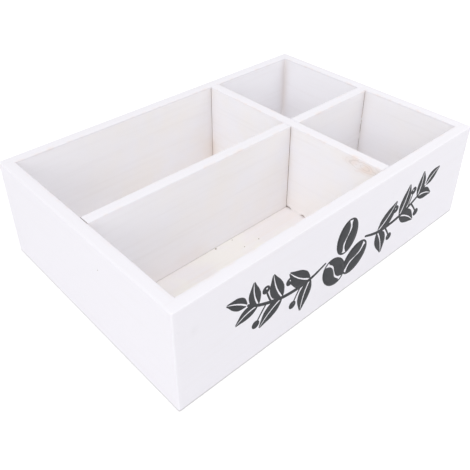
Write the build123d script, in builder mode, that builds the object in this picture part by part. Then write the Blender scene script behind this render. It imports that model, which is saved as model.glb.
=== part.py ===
# Countertop coffee station organizer: an open wooden box with four compartments.
#
# Four boards make the frame. The front and back boards run the full length and the two end boards
# stand between them, butted and bradded at each corner. A thin plywood base sits in a recess that is
# routed into the frame's underside, so its edge never shows from the side. A cross divider runs from
# the front board to the back board, and a long and a short divider butt against it from either side.
# Every brad is driven below the surface, and the marks over the brads in the walls are filled.
#
# Millimetres. X runs along the front board, Y from front to back, Z up. The origin is the middle of
# the footprint, on the surface that the box stands on.

import os

from build123d import *

# Frame
box_length = 300.0
box_depth = 204.0
box_height = 83.0
wall_thickness = 9.0
corner_round = 1.2  # sanded upright corners
rim_round = 0.8  # eased top edges, on the dividers too
foot_round = 1.0  # eased outer edge at the foot

# Base panel, and the recess that takes it
base_thickness = 3.0
recess_width = 4.5  # how far the recess runs in under the walls
recess_corner = 6.0  # left by the round cutter
base_play = 0.3  # between the panel's edge and the recess, all round

# Dividers
divider_thickness = 9.0
divider_drop = 0.4  # from the rim down to a divider's top
divider_gap = 0.5  # saw play at the loose ends
small_bay_width = 86.5  # clear, from the cross divider to the right end board
front_bay_depth = 88.5  # clear, from the front board to the long and short dividers

# Brads: flat wire with a T head and a chisel point
brad_width = 1.25
brad_thickness = 1.0
brad_head_width = 1.9
brad_head_height = 0.8
brad_point = 1.8
wall_brad_length = 25.0
wall_brad_sink = 0.8
base_brad_length = 15.0
base_brad_sink = 0.3
mark_length = 2.8  # mark that the driver leaves over a brad
mark_width = 1.5

# Brad rows. A margin runs from the end of a row's piece to the nearest brad.
corner_brad_count = 3
corner_brad_margin = 15.0
divider_brad_count = 2
divider_brad_margin = 20.0
base_along_count = 5
base_across_count = 3
base_wall_margin = 21.0
base_divider_count = 2
base_divider_margin = 36.0

# Worked-out sizes and places
inner_length = box_length - 2 * wall_thickness
inner_depth = box_depth - 2 * wall_thickness
recess_length = inner_length + 2 * recess_width
recess_depth = inner_depth + 2 * recess_width
divider_height = box_height - divider_drop - base_thickness
cross_x = inner_length / 2 - small_bay_width - divider_thickness / 2
cross_left = cross_x - divider_thickness / 2
cross_right = cross_x + divider_thickness / 2
middle_y = front_bay_depth + divider_thickness / 2 - inner_depth / 2
cross_length = inner_depth - divider_gap
long_left = divider_gap - inner_length / 2
long_right = cross_left - divider_gap
short_right = inner_length / 2 - divider_gap
end_board_x = (box_length - wall_thickness) / 2  # middle of an end board's thickness

# Work faces, with their normals outwards. On an upright one the Y axis points up.
front_face = Plane(origin=(0, -box_depth / 2, 0), x_dir=(1, 0, 0), z_dir=(0, -1, 0))
back_face = Plane(origin=(0, box_depth / 2, 0), x_dir=(-1, 0, 0), z_dir=(0, 1, 0))
left_face = Plane(origin=(-box_length / 2, 0, 0), x_dir=(0, -1, 0), z_dir=(-1, 0, 0))
right_face = Plane(origin=(box_length / 2, 0, 0), x_dir=(0, 1, 0), z_dir=(1, 0, 0))
cross_right_face = Plane(origin=(cross_right, 0, 0), x_dir=(0, 1, 0), z_dir=(1, 0, 0))
underside = Plane(origin=(0, 0, 0), x_dir=(1, 0, 0), z_dir=(0, 0, -1))

# End planes that the dividers run from, with the Y axis up
cross_start = Plane(origin=(cross_x, -inner_depth / 2, 0), x_dir=(-1, 0, 0), z_dir=(0, 1, 0))
long_start = Plane(origin=(long_left, middle_y, 0), x_dir=(0, 1, 0), z_dir=(1, 0, 0))
short_start = Plane(origin=(cross_right, middle_y, 0), x_dir=(0, 1, 0), z_dir=(1, 0, 0))


def spread(count, start, end, margin):
    """Evenly spaced values between start and end, with a margin left at both."""
    pitch = (end - start - 2 * margin) / max(count - 1, 1)
    return [start + margin + step * pitch for step in range(count)]


def column(across, count, margin):
    """Points one above another on an upright work face."""
    return [(across, height) for height in spread(count, 0, box_height, margin)]


def brad(length):
    """One brad pointing down, with its origin in the middle of the head's top face."""
    with BuildPart() as wire:
        with BuildSketch(Plane.XZ):
            with BuildLine():
                Polyline(
                    (brad_head_width / 2, 0),
                    (brad_head_width / 2, -brad_head_height),
                    (brad_width / 2, -brad_head_height),
                    (brad_width / 2, brad_point - length),
                    (0, -length),
                    (-brad_width / 2, brad_point - length),
                    (-brad_width / 2, -brad_head_height),
                    (-brad_head_width / 2, -brad_head_height),
                    (-brad_head_width / 2, 0),
                    close=True,
                )
            make_face()
        extrude(amount=brad_thickness / 2, both=True)
    return wire.part


def brads(face, points, length, sink):
    """Brads driven into a work face at these points, with their heads sunk below it."""
    with BuildPart(face.offset(-sink)) as driven:
        with Locations(*points):
            add(brad(length))
    return driven


def driver_marks(face, points, depth):
    """The driver's marks over the brads, as solids that end flush with the work face."""
    with BuildPart() as marks:
        with BuildSketch(face):
            with Locations(*points):
                Rectangle(mark_length, mark_width)
        extrude(amount=-depth)
    return marks


def divider_blank(start, length):
    """A divider that stands on the base, with both of its top edges eased."""
    with BuildPart() as blank:
        with BuildSketch(start) as section:
            with Locations((0, base_thickness)):
                Rectangle(divider_thickness, divider_height, align=(Align.CENTER, Align.MIN))
            fillet(section.vertices().group_by(Axis.Y)[-1], rim_round)
        extrude(amount=length)
    return blank


# Brads and fillers in the walls. A row is named for the corner or the piece that it holds.
front_left_points = column(-end_board_x, corner_brad_count, corner_brad_margin)
front_right_points = column(end_board_x, corner_brad_count, corner_brad_margin)
back_left_points = column(end_board_x, corner_brad_count, corner_brad_margin)
back_right_points = column(-end_board_x, corner_brad_count, corner_brad_margin)
cross_front_points = column(cross_x, divider_brad_count, divider_brad_margin)
cross_back_points = column(-cross_x, divider_brad_count, divider_brad_margin)
long_end_points = column(-middle_y, divider_brad_count, divider_brad_margin)
inner_points = column(middle_y, divider_brad_count, divider_brad_margin)

front_left_corner_brads = brads(front_face, front_left_points, wall_brad_length, wall_brad_sink)
front_right_corner_brads = brads(front_face, front_right_points, wall_brad_length, wall_brad_sink)
back_left_corner_brads = brads(back_face, back_left_points, wall_brad_length, wall_brad_sink)
back_right_corner_brads = brads(back_face, back_right_points, wall_brad_length, wall_brad_sink)
cross_divider_front_brads = brads(front_face, cross_front_points, wall_brad_length, wall_brad_sink)
cross_divider_back_brads = brads(back_face, cross_back_points, wall_brad_length, wall_brad_sink)
long_divider_end_brads = brads(left_face, long_end_points, wall_brad_length, wall_brad_sink)
long_divider_inner_brads = brads(cross_right_face, inner_points, wall_brad_length, wall_brad_sink)
short_divider_end_brads = brads(right_face, inner_points, wall_brad_length, wall_brad_sink)

front_points = front_left_points + front_right_points + cross_front_points
back_points = back_left_points + back_right_points + cross_back_points
front_fillers = driver_marks(front_face, front_points, wall_brad_sink)
back_fillers = driver_marks(back_face, back_points, wall_brad_sink)
left_fillers = driver_marks(left_face, long_end_points, wall_brad_sink)
right_fillers = driver_marks(right_face, inner_points, wall_brad_sink)

# Brads through the base, up into the ledges above the recess and into the dividers. The underside's
# Y axis runs from back to front.
ledge_x = (inner_length + recess_width) / 2
ledge_y = (inner_depth + recess_width) / 2
along = spread(base_along_count, -inner_length / 2, inner_length / 2, base_wall_margin)
across = spread(base_across_count, -inner_depth / 2, inner_depth / 2, base_wall_margin)
cross_run = spread(base_divider_count, -inner_depth / 2, inner_depth / 2, base_divider_margin)
long_run = spread(base_divider_count, long_left, long_right, base_divider_margin)
wall_points = [(x, y) for x in along for y in (-ledge_y, ledge_y)]
wall_points += [(x, y) for x in (-ledge_x, ledge_x) for y in across]
divider_points = [(cross_x, y) for y in cross_run]
divider_points += [(x, -middle_y) for x in long_run]
divider_points += [((cross_right + short_right) / 2, -middle_y)]

base_wall_brads = brads(underside, wall_points, base_brad_length, base_brad_sink)
base_divider_brads = brads(underside, divider_points, base_brad_length, base_brad_sink)
base_marks = driver_marks(underside, wall_points + divider_points, base_brad_sink)

# The frame as it is once sanded and routed, still in one piece. Its four boards are cut from it.
with BuildPart() as sanded_frame:
    with BuildSketch():
        RectangleRounded(box_length, box_depth, corner_round)
        Rectangle(inner_length, inner_depth, mode=Mode.SUBTRACT)
    extrude(amount=box_height)
    fillet(sanded_frame.faces().sort_by(Axis.Z)[-1].edges(), rim_round)
    fillet(sanded_frame.faces().sort_by(Axis.Z)[0].outer_wire().edges(), foot_round)
    with BuildSketch():
        RectangleRounded(recess_length, recess_depth, recess_corner)
    extrude(amount=base_thickness, mode=Mode.SUBTRACT)
    add(base_wall_brads.part, mode=Mode.SUBTRACT)

with BuildPart() as front_board:
    add(sanded_frame.part)
    split(bisect_by=Plane.XZ.offset(inner_depth / 2), keep=Keep.TOP)
    add(front_left_corner_brads.part, mode=Mode.SUBTRACT)
    add(front_right_corner_brads.part, mode=Mode.SUBTRACT)
    add(cross_divider_front_brads.part, mode=Mode.SUBTRACT)
    add(front_fillers.part, mode=Mode.SUBTRACT)

with BuildPart() as back_board:
    add(sanded_frame.part)
    split(bisect_by=Plane.XZ.offset(-inner_depth / 2), keep=Keep.BOTTOM)
    add(back_left_corner_brads.part, mode=Mode.SUBTRACT)
    add(back_right_corner_brads.part, mode=Mode.SUBTRACT)
    add(cross_divider_back_brads.part, mode=Mode.SUBTRACT)
    add(back_fillers.part, mode=Mode.SUBTRACT)

with BuildPart() as end_boards:
    add(sanded_frame.part)
    split(bisect_by=Plane.XZ.offset(inner_depth / 2), keep=Keep.BOTTOM)
    split(bisect_by=Plane.XZ.offset(-inner_depth / 2), keep=Keep.TOP)

with BuildPart() as left_end_board:
    add(end_boards.part)
    split(bisect_by=Plane.YZ, keep=Keep.BOTTOM)
    add(front_left_corner_brads.part, mode=Mode.SUBTRACT)
    add(back_left_corner_brads.part, mode=Mode.SUBTRACT)
    add(long_divider_end_brads.part, mode=Mode.SUBTRACT)
    add(left_fillers.part, mode=Mode.SUBTRACT)

with BuildPart() as right_end_board:
    add(end_boards.part)
    split(bisect_by=Plane.YZ, keep=Keep.TOP)
    add(front_right_corner_brads.part, mode=Mode.SUBTRACT)
    add(back_right_corner_brads.part, mode=Mode.SUBTRACT)
    add(short_divider_end_brads.part, mode=Mode.SUBTRACT)
    add(right_fillers.part, mode=Mode.SUBTRACT)

with BuildPart() as base_panel:
    with BuildSketch():
        RectangleRounded(
            recess_length - 2 * base_play,
            recess_depth - 2 * base_play,
            recess_corner - base_play,
        )
    extrude(amount=base_thickness)
    add(base_wall_brads.part, mode=Mode.SUBTRACT)
    add(base_divider_brads.part, mode=Mode.SUBTRACT)
    add(base_marks.part, mode=Mode.SUBTRACT)

# The cross divider stands tight against the front board, with its play at the back. The marks over
# the brads that it sends into the long divider stay open, behind the short divider's end.
inner_marks = driver_marks(cross_right_face, inner_points, wall_brad_sink)
cross_blank = divider_blank(cross_start, cross_length)

with BuildPart() as cross_divider:
    add(cross_blank.part)
    add(cross_divider_front_brads.part, mode=Mode.SUBTRACT)
    add(cross_divider_back_brads.part, mode=Mode.SUBTRACT)
    add(long_divider_inner_brads.part, mode=Mode.SUBTRACT)
    add(inner_marks.part, mode=Mode.SUBTRACT)
    add(base_divider_brads.part, mode=Mode.SUBTRACT)

# The long divider has play at both ends, and the short one only at the right end board.
long_blank = divider_blank(long_start, long_right - long_left)
short_blank = divider_blank(short_start, short_right - cross_right)

with BuildPart() as long_divider:
    add(long_blank.part)
    add(long_divider_end_brads.part, mode=Mode.SUBTRACT)
    add(long_divider_inner_brads.part, mode=Mode.SUBTRACT)
    add(base_divider_brads.part, mode=Mode.SUBTRACT)

with BuildPart() as short_divider:
    add(short_blank.part)
    add(short_divider_end_brads.part, mode=Mode.SUBTRACT)
    add(base_divider_brads.part, mode=Mode.SUBTRACT)

pieces = {
    "front_board": front_board,
    "back_board": back_board,
    "left_end_board": left_end_board,
    "right_end_board": right_end_board,
    "base_panel": base_panel,
    "cross_divider": cross_divider,
    "long_divider": long_divider,
    "short_divider": short_divider,
    "front_left_corner_brads": front_left_corner_brads,
    "front_right_corner_brads": front_right_corner_brads,
    "back_left_corner_brads": back_left_corner_brads,
    "back_right_corner_brads": back_right_corner_brads,
    "cross_divider_front_brads": cross_divider_front_brads,
    "cross_divider_back_brads": cross_divider_back_brads,
    "long_divider_end_brads": long_divider_end_brads,
    "long_divider_inner_brads": long_divider_inner_brads,
    "short_divider_end_brads": short_divider_end_brads,
    "base_wall_brads": base_wall_brads,
    "base_divider_brads": base_divider_brads,
    "front_fillers": front_fillers,
    "back_fillers": back_fillers,
    "left_fillers": left_fillers,
    "right_fillers": right_fillers,
}

os.makedirs("parts", exist_ok=True)
for name, piece in pieces.items():
    piece.part.label = name
    export_step(piece.part, f"parts/{name}.step")
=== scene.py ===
# Paint, joints, artwork, light and camera for a white wooden coffee station organizer.
# Metres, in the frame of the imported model: X along the front board, Y from front to back, Z up.

import math

import bmesh
import bpy
from mathutils import Matrix, Vector


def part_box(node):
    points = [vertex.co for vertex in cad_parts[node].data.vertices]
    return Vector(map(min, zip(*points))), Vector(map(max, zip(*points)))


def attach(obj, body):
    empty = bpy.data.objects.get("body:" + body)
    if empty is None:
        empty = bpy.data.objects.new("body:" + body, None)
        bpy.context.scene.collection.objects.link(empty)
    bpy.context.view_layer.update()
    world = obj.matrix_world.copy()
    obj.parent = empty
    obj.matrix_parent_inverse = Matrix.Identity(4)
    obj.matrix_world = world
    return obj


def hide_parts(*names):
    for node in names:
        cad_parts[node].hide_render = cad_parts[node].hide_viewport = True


mm = 0.001

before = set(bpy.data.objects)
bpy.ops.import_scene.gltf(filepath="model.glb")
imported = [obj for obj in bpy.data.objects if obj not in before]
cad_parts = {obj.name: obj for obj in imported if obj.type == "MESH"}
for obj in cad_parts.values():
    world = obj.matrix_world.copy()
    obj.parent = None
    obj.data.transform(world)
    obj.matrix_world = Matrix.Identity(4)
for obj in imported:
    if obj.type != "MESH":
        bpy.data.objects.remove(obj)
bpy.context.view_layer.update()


# Small helpers

def linear(hexColour):
    # an sRGB hex colour as the linear values that sockets take
    channels = [int(hexColour[i:i + 2], 16) / 255 for i in (1, 3, 5)]
    return [c / 12.92 if c <= 0.04045 else ((c + 0.055) / 1.055) ** 2.4 for c in channels] + [1.0]


def connect(tree, source, socket):
    # a node stands for its first live output
    if isinstance(source, bpy.types.Node):
        source = next(output for output in source.outputs if output.enabled)
    tree.links.new(source, socket)


def addNode(tree, kind, settings=None, links=None):
    # settings names properties of the node, or its inputs by name or number; links names inputs only
    node = tree.nodes.new(kind)
    for key, value in (settings or {}).items():
        if isinstance(key, str) and key.islower():
            setattr(node, key, value)
    for key, value in (settings or {}).items():
        if not (isinstance(key, str) and key.islower()):
            node.inputs[key].default_value = value
    for key, source in (links or {}).items():
        connect(tree, source, node.inputs[key])
    return node


def span(low, high, start=0.0, end=1.0):
    # the settings that turn low to high into start to end
    return {"From Min": low, "From Max": high, "To Min": start, "To Max": end}


def clamp(value):
    return min(max(value, 0), 1)


def newTree(name, inputs):
    # a Geometry Nodes tree with a geometry in and out, and named inputs as {name: socket type}
    tree = bpy.data.node_groups.new(name, "GeometryNodeTree")
    tree.interface.new_socket("Geometry", in_out="INPUT", socket_type="NodeSocketGeometry")
    tree.interface.new_socket("Geometry", in_out="OUTPUT", socket_type="NodeSocketGeometry")
    for label, kind in inputs.items():
        tree.interface.new_socket(label, in_out="INPUT", socket_type="NodeSocket" + kind)
    given, result = tree.nodes.new("NodeGroupInput"), tree.nodes.new("NodeGroupOutput")
    return tree, given.outputs, result.inputs["Geometry"]


def realAndPainted(tree, geometry, finish):
    real = addNode(tree, "GeometryNodeRealizeInstances", links={"Geometry": geometry})
    return addNode(tree, "GeometryNodeSetMaterial", links={"Geometry": real, "Material": finish})


def runTree(piece, tree, values):
    # gives the piece's modifier its inputs by identifier, and keeps the result as a plain mesh
    modifier = piece.modifiers.new(tree.name, "NODES")
    modifier.node_group = tree
    for item in tree.interface.items_tree:
        if item.in_out == "INPUT" and item.name in values:
            modifier[item.identifier] = values[item.name]
    graph = bpy.context.evaluated_depsgraph_get()
    result = bpy.data.meshes.new_from_object(piece.evaluated_get(graph), depsgraph=graph)
    piece.modifiers.clear()
    piece.data = result


def newPiece(name, mesh):
    piece = bpy.data.objects.new(name, mesh)
    bpy.context.scene.collection.objects.link(piece)
    return piece


def turnOutwards(mesh):
    # closed shells face outwards, blend over their edges and use the one material that they have
    bm = bmesh.new()
    bm.from_mesh(mesh)
    bmesh.ops.recalc_face_normals(bm, faces=bm.faces)
    bm.to_mesh(mesh)
    bm.free()
    for polygon in mesh.polygons:
        polygon.use_smooth = True
        polygon.material_index = 0
    while len(mesh.materials) > 1:
        mesh.materials.pop(index=0)


def handOver(piece, slot, *replaced):
    # every piece of the box rides on its one body
    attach(piece, "root")
    if replaced:
        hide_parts(*replaced)


# The box, read from the frame

frontLow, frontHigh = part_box("front_board")
backLow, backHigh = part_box("back_board")
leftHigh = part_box("left_end_board")[1]
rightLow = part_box("right_end_board")[0]
crossLow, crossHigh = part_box("cross_divider")
longLow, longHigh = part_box("long_divider")
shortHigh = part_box("short_divider")[1]
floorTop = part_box("base_panel")[1].z
rimTop = frontHigh.z
bayEdgesX = [leftHigh.x, crossLow.x, crossHigh.x, rightLow.x]
bayEdgesY = [frontHigh.y, longLow.y, longHigh.y, backLow.y]


# Materials

paint = {
    "outside": "#EAE8EE",  # cool white, as two coats dry on a sanded face
    "insideWarm": "#F9F6F5",  # brighter than the outside coat, as painted light inside the bays; one wet coat, which dried in warm and cool patches
    "insideCool": "#F8F7FB",
    "insideExtraLight": "#FBFAFE",  # painted light: brighter still in the right bays and towards the left end of the long bays, where they would fall into shade
    "thinAndShade": "#EBDDD5",  # warm tint: pine that shows through where the spray hardly reached, and warm painted shade into the bay corners
    "streak": "#E3DEDF",  # grain that the paint leaves a shade darker
    "grime": "#BCBABB",  # grey painted shade: a line along the outside foot, and darkening into the bay corners and along the floor inside; also one real smudge
    "edgeWood": "#E9D3C6",  # where the sanding block went through along an edge
    "streakMost": 0.16,
    "thinLeast": 0.45,
    "edgeMost": 0.45,
    "edgeChip": 7 * mm,
    "grainWidth": 3.5 * mm,
    "grainLength": 90 * mm,
    "mottle": 38 * mm,
    "peel": 1.4 * mm,  # really about 0.5 mm, drawn coarser so that it shows
    "peelShare": 0.35,  # of the relief, next to the grain
    "bump": (0.35, 0.06 * mm),  # strength and height
    "roughness": 0.52,
    "ior": 1.49,
}
# what storePaintCover writes on the points and the paint reads
coverNames = ("inside", "freshPaint", "thinPaint", "grime", "edgeWear")


def newMaterial(name, roughness):
    # also hands back its tree, its shader, and the place in the object that the patterns hang on
    material = bpy.data.materials.new(name)
    material.use_nodes = True
    shader = material.node_tree.nodes["Principled BSDF"]
    shader.inputs["Roughness"].default_value = roughness
    place = addNode(material.node_tree, "ShaderNodeTexCoord").outputs["Object"]
    return material, material.node_tree, shader, place


def finishShader(tree, shader, colour, height=None, strength=0.0, depth=0.0):
    connect(tree, colour, shader.inputs["Base Color"])
    if height is not None:
        bump = addNode(tree, "ShaderNodeBump", {"Strength": strength, "Distance": depth}, {"Height": height})
        connect(tree, bump, shader.inputs["Normal"])


def overlay(tree, under, *layers):
    # lays hex colours over one another, each by its own amount; the lowest one is a hex colour or a node
    for colour, amount in layers:
        settings, links = {"data_type": "RGBA", 7: linear(colour)}, {0: amount}
        if isinstance(under, str):
            settings[6] = linear(under)
        else:
            links[6] = under
        under = addNode(tree, "ShaderNodeMix", settings, links)
    return under


def grainScale(alongX):
    along, across = 1 / paint["grainLength"], 1 / paint["grainWidth"]
    return (along, across, across) if alongX else (across, along, across)


knot = {  # near the top of the cross divider, in the large front bay
    "middle": (45.5 * mm, -76.5 * mm, 77.5 * mm),
    "reach": (5 * mm, 21 * mm, 7.5 * mm),
    "rings": 3.6,
    "wander": 9 * mm,
    "patch": 11 * mm,
    "wood": "#EBD6C8",
    "ring": "#BFB4AE",
    "woodMost": 0.45,
    "ringMost": 0.3,
}


def knotUnderPaint(tree, place, colour):
    # the knot bleeds through the paint in two warm patches, and its rings stand out as thin grey lines
    centred = addNode(tree, "ShaderNodeVectorMath", {"operation": "SUBTRACT", 1: knot["middle"]}, {0: place})
    shrunk = addNode(tree, "ShaderNodeVectorMath", {"operation": "DIVIDE", 1: knot["reach"]}, {0: centred})
    away = addNode(tree, "ShaderNodeVectorMath", {"operation": "LENGTH"}, {0: shrunk})
    wander, patch = [
        addNode(tree, "ShaderNodeTexNoise", {"Scale": 1 / size, "Detail": detail}, {"Vector": where})
        for size, detail, where in ((knot["wander"], 3.0, place), (knot["patch"], 1.0, centred))
    ]
    wandered = addNode(tree, "ShaderNodeMath", {"operation": "MULTIPLY_ADD", 1: 0.9}, {0: wander, 2: away})
    nearRange = {"interpolation_type": "SMOOTHSTEP", "From Min": 1.5, "From Max": 0.7}
    near = addNode(tree, "ShaderNodeMapRange", nearRange, {"Value": wandered})
    perRing = math.tau * knot["rings"]
    turns = addNode(tree, "ShaderNodeMath", {"operation": "MULTIPLY", 1: perRing}, {0: wandered})
    wave = addNode(tree, "ShaderNodeMath", {"operation": "SINE"}, {0: turns})
    warm = addNode(tree, "ShaderNodeMapRange", span(0.35, 0.6, 0, knot["woodMost"]), {"Value": patch})
    line = addNode(tree, "ShaderNodeMapRange", span(0.45, 1, 0, knot["ringMost"]), {"Value": wave})
    bleed, rings = [
        addNode(tree, "ShaderNodeMath", {"operation": "MULTIPLY"}, {0: near, 1: part})
        for part in (warm, line)
    ]
    return overlay(tree, colour, (knot["wood"], bleed), (knot["ring"], rings))


def emulsionOnPine(name, grainAlongX):
    # Satin emulsion sprayed on planed pine: soft broad highlights, and the grain just telegraphing through.
    material, tree, shader, place = newMaterial(name, paint["roughness"])
    shader.inputs["IOR"].default_value = paint["ior"]
    grainPlace = addNode(tree, "ShaderNodeMapping", {"Scale": grainScale(grainAlongX)}, {"Vector": place})
    grainLook = {"Scale": 1.0, "Detail": 4.0, "Roughness": 0.6, "Distortion": 0.4}
    grain = addNode(tree, "ShaderNodeTexNoise", grainLook, {"Vector": grainPlace})
    mottleLook = {"Scale": 1 / paint["mottle"], "Detail": 3.0, "Roughness": 0.55}
    mottle = addNode(tree, "ShaderNodeTexNoise", mottleLook, {"Vector": place})
    chips, peel = [
        addNode(tree, "ShaderNodeTexNoise", {"Scale": 1 / size, "Detail": detail}, {"Vector": place})
        for size, detail in ((paint["edgeChip"], 4.0), (paint["peel"], 2.0))
    ]
    inside, extraLight, thinAndShade, grime, wear = [
        addNode(tree, "ShaderNodeAttribute", {"attribute_name": cover}).outputs["Fac"] for cover in coverNames
    ]
    dried, streaks, patchy, chipped = [
        addNode(tree, "ShaderNodeMapRange", span(*ends), {"Value": pattern})
        for pattern, ends in (
            (mottle, (0.36, 0.64)), (grain, (0.5, 0.75, 0, paint["streakMost"])),
            (mottle, (0.35, 0.7, paint["thinLeast"], 1)), (chips, (0.48, 0.72, 0, paint["edgeMost"])),
        )
    ]
    thinAndShadeAmount, wornThrough = [
        addNode(tree, "ShaderNodeMath", {"operation": "MULTIPLY"}, {0: cover, 1: pattern})
        for cover, pattern in ((thinAndShade, patchy), (wear, chipped))
    ]
    # painted light: the coat inside the bays is brighter than the outside one, in warm and cool patches
    coats = (paint["insideWarm"], dried), (paint["insideExtraLight"], extraLight)
    insideLitCoat = overlay(tree, paint["insideCool"], *coats)
    outsideCoat = {"data_type": "RGBA", 6: linear(paint["outside"])}
    colour = addNode(tree, "ShaderNodeMix", outsideCoat, {0: inside, 7: insideLitCoat})
    # the grain streaks and the edge wear are the coat's own; the warm tint is partly painted shade in the
    # corners, and the grey is painted shade with one smudge
    amounts = (streaks, thinAndShadeAmount, grime, wornThrough)
    colour = overlay(tree, colour, *zip((paint[k] for k in ("streak", "thinAndShade", "grime", "edgeWood")), amounts))
    if not grainAlongX:
        colour = knotUnderPaint(tree, place, colour)
    share = {"operation": "MULTIPLY_ADD", 1: paint["peelShare"]}
    height = addNode(tree, "ShaderNodeMath", share, {0: peel, 2: grain})
    finishShader(tree, shader, colour, height, *paint["bump"])
    return material


rawWood = {
    "light": "#C9A27C",
    "dark": "#7E5A3E",
    "ringSpacing": 2.2 * mm,
    "bump": (0.4, 0.1 * mm),
}


def rawPine():
    # Bare sawn pine on the faces that the spray never reached: dull, brown and a little furry.
    material, tree, shader, place = newMaterial("rawPine", 0.8)
    look = {"wave_type": "RINGS", "rings_direction": "SPHERICAL", "Distortion": 4.0, "Detail": 3.0}
    look["Scale"] = 1 / (20 * rawWood["ringSpacing"])
    rings = addNode(tree, "ShaderNodeTexWave", look, {"Vector": place}).outputs["Fac"]
    colour = overlay(tree, rawWood["light"], (rawWood["dark"], rings))
    finishShader(tree, shader, colour, rings, *rawWood["bump"])
    return material


plywood = {
    "paintTop": "#F3F0EC",  # a thin coat, a little warmer than the walls, with cooler clouds in it
    "paintCloud": "#F1EDEE",
    "paintWorn": "#EEE4DC",  # where the ply drinks it in
    "bareLight": "#DDC19C",
    "bareDark": "#B98F62",
    "figureWidth": 5 * mm,
    "figureLength": 120 * mm,
    "patchSize": 30 * mm,
    "speckSpacing": 8 * mm,
    "speck": "#B7AB98",  # dust that dried into the coat
    "bump": (0.3, 0.08 * mm),
}


def sprayedPlywood():
    # Three-ply poplar: one absorbent coat of emulsion on top, bare and sanded underneath.
    material, tree, shader, place = newMaterial("sprayedPlywood", 0.6)
    along, across = 1 / plywood["figureLength"], 1 / plywood["figureWidth"]
    figurePlace = addNode(tree, "ShaderNodeMapping", {"Scale": (along, across, across)}, {"Vector": place})
    figureLook = {"Scale": 1.0, "Detail": 5.0, "Roughness": 0.62, "Distortion": 0.6}
    figure = addNode(tree, "ShaderNodeTexNoise", figureLook, {"Vector": figurePlace})
    patchLook = {"Scale": 1 / plywood["patchSize"], "Detail": 4.0}
    patches = addNode(tree, "ShaderNodeTexNoise", patchLook, {"Vector": place})
    dust = addNode(tree, "ShaderNodeTexVoronoi", {"Scale": 1 / plywood["speckSpacing"]}, {"Vector": place})
    worn, clouds, dot, figured = [
        addNode(tree, "ShaderNodeMapRange", span(*ends), {"Value": pattern})
        for pattern, ends in (
            (figure, (0.46, 0.72, 0, 0.55)), (patches, (0.42, 0.58)),
            (dust, (0.03, 0.07, 0.7, 0)), (figure, (0.35, 0.68)),
        )
    ]
    chosen = addNode(tree, "ShaderNodeSeparateColor", links={"Color": dust.outputs["Color"]})
    few = addNode(tree, "ShaderNodeMath", {"operation": "GREATER_THAN", 1: 0.6}, {0: chosen})
    wornPatches, specks = [
        addNode(tree, "ShaderNodeMath", {"operation": "MULTIPLY"}, {0: first, 1: second})
        for first, second in ((worn, patches), (dot, few))
    ]
    painted = overlay(
        tree, plywood["paintTop"], (plywood["paintCloud"], clouds), (plywood["paintWorn"], wornPatches),
        (plywood["speck"], specks)
    )
    bare = overlay(tree, plywood["bareLight"], (plywood["bareDark"], figured))
    height = addNode(tree, "ShaderNodeSeparateXYZ", links={"Vector": place}).outputs["Z"]
    above = {"operation": "GREATER_THAN", 1: floorTop - 0.2 * mm}
    isTop = addNode(tree, "ShaderNodeMath", above, {0: height})
    colour = addNode(tree, "ShaderNodeMix", {"data_type": "RGBA"}, {0: isTop, 6: bare, 7: painted})
    finishShader(tree, shader, colour, figure, *plywood["bump"])
    return material


def galvanisedWire():
    # Flat brad wire with a thin zinc coat: a dull silver that clouds a little.
    material, tree, shader, place = newMaterial("galvanisedWire", 0.5)
    shader.inputs["Metallic"].default_value = 1.0
    cloud = addNode(tree, "ShaderNodeTexNoise", {"Scale": 1 / (0.8 * mm), "Detail": 3.0}, {"Vector": place})
    dullness = addNode(tree, "ShaderNodeMapRange", span(0, 1, 0.32, 0.5), {"Value": cloud})
    connect(tree, dullness, shader.inputs["Roughness"])
    finishShader(tree, shader, overlay(tree, "#A9ABAE", ("#D0D1D3", cloud)))
    return material


def stencilPaint():
    # Charcoal chalk paint pushed on with a stiff brush: flat, with a faint cloud of thinner colour.
    material, tree, shader, place = newMaterial("charcoalChalkPaint", 0.62)
    shader.inputs["Specular IOR Level"].default_value = 0.3
    cloud = addNode(tree, "ShaderNodeTexNoise", {"Scale": 1 / (6 * mm), "Detail": 4.0}, {"Vector": place})
    grit = addNode(tree, "ShaderNodeTexNoise", {"Scale": 1 / (0.9 * mm), "Detail": 2.0}, {"Vector": place})
    finishShader(tree, shader, overlay(tree, "#2B2C2F", ("#3A3B3F", cloud)), grit, 0.3, 0.05 * mm)
    return material


def speckMaterial():
    # Bark and glue crumbs caught in the wet paint.
    material, tree, shader, place = newMaterial("driedCrumbs", 0.7)
    cloud = addNode(tree, "ShaderNodeTexNoise", {"Scale": 1 / (9 * mm)}, {"Vector": place})
    finishShader(tree, shader, overlay(tree, "#8C8376", ("#A89C86", cloud)))
    return material


paintAlongX = emulsionOnPine("emulsionGrainAlongLength", True)
paintAlongY = emulsionOnPine("emulsionGrainAlongDepth", False)
pine = rawPine()
ply = sprayedPlywood()
wire = galvanisedWire()
charcoal = stencilPaint()
crumbs = speckMaterial()
print("materials done")


# Boards: planed, eased with a sanding block, and sprayed after the box was nailed up

boardForm = {
    "cornerRound": 1.2 * mm,
    "rimRound": 0.8 * mm,
    "footRound": 1.0 * mm,
    "stepAlong": 2.5 * mm,
    "stepAcross": 1.25 * mm,
    "roundSteps": 4,
    "dividerFoot": 0.3 * mm,
    "recess": 4.5 * mm,  # how far the base panel runs in under the walls
    "recessCorner": 6 * mm,
    "relief": 0.05 * mm,  # grain left proud by the planer
    "wobble": 0.14 * mm,  # how far the sanded faces stray
    "wobbleSize": 45 * mm,
    "paintedEnd": 1.6 * mm,  # how far paint runs down a divider's end
    "bareInset": 0.15 * mm,  # paint that crept in behind a divider's end
}

quarter = [math.radians(90 * k / boardForm["roundSteps"]) for k in range(boardForm["roundSteps"] + 1)]


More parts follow.
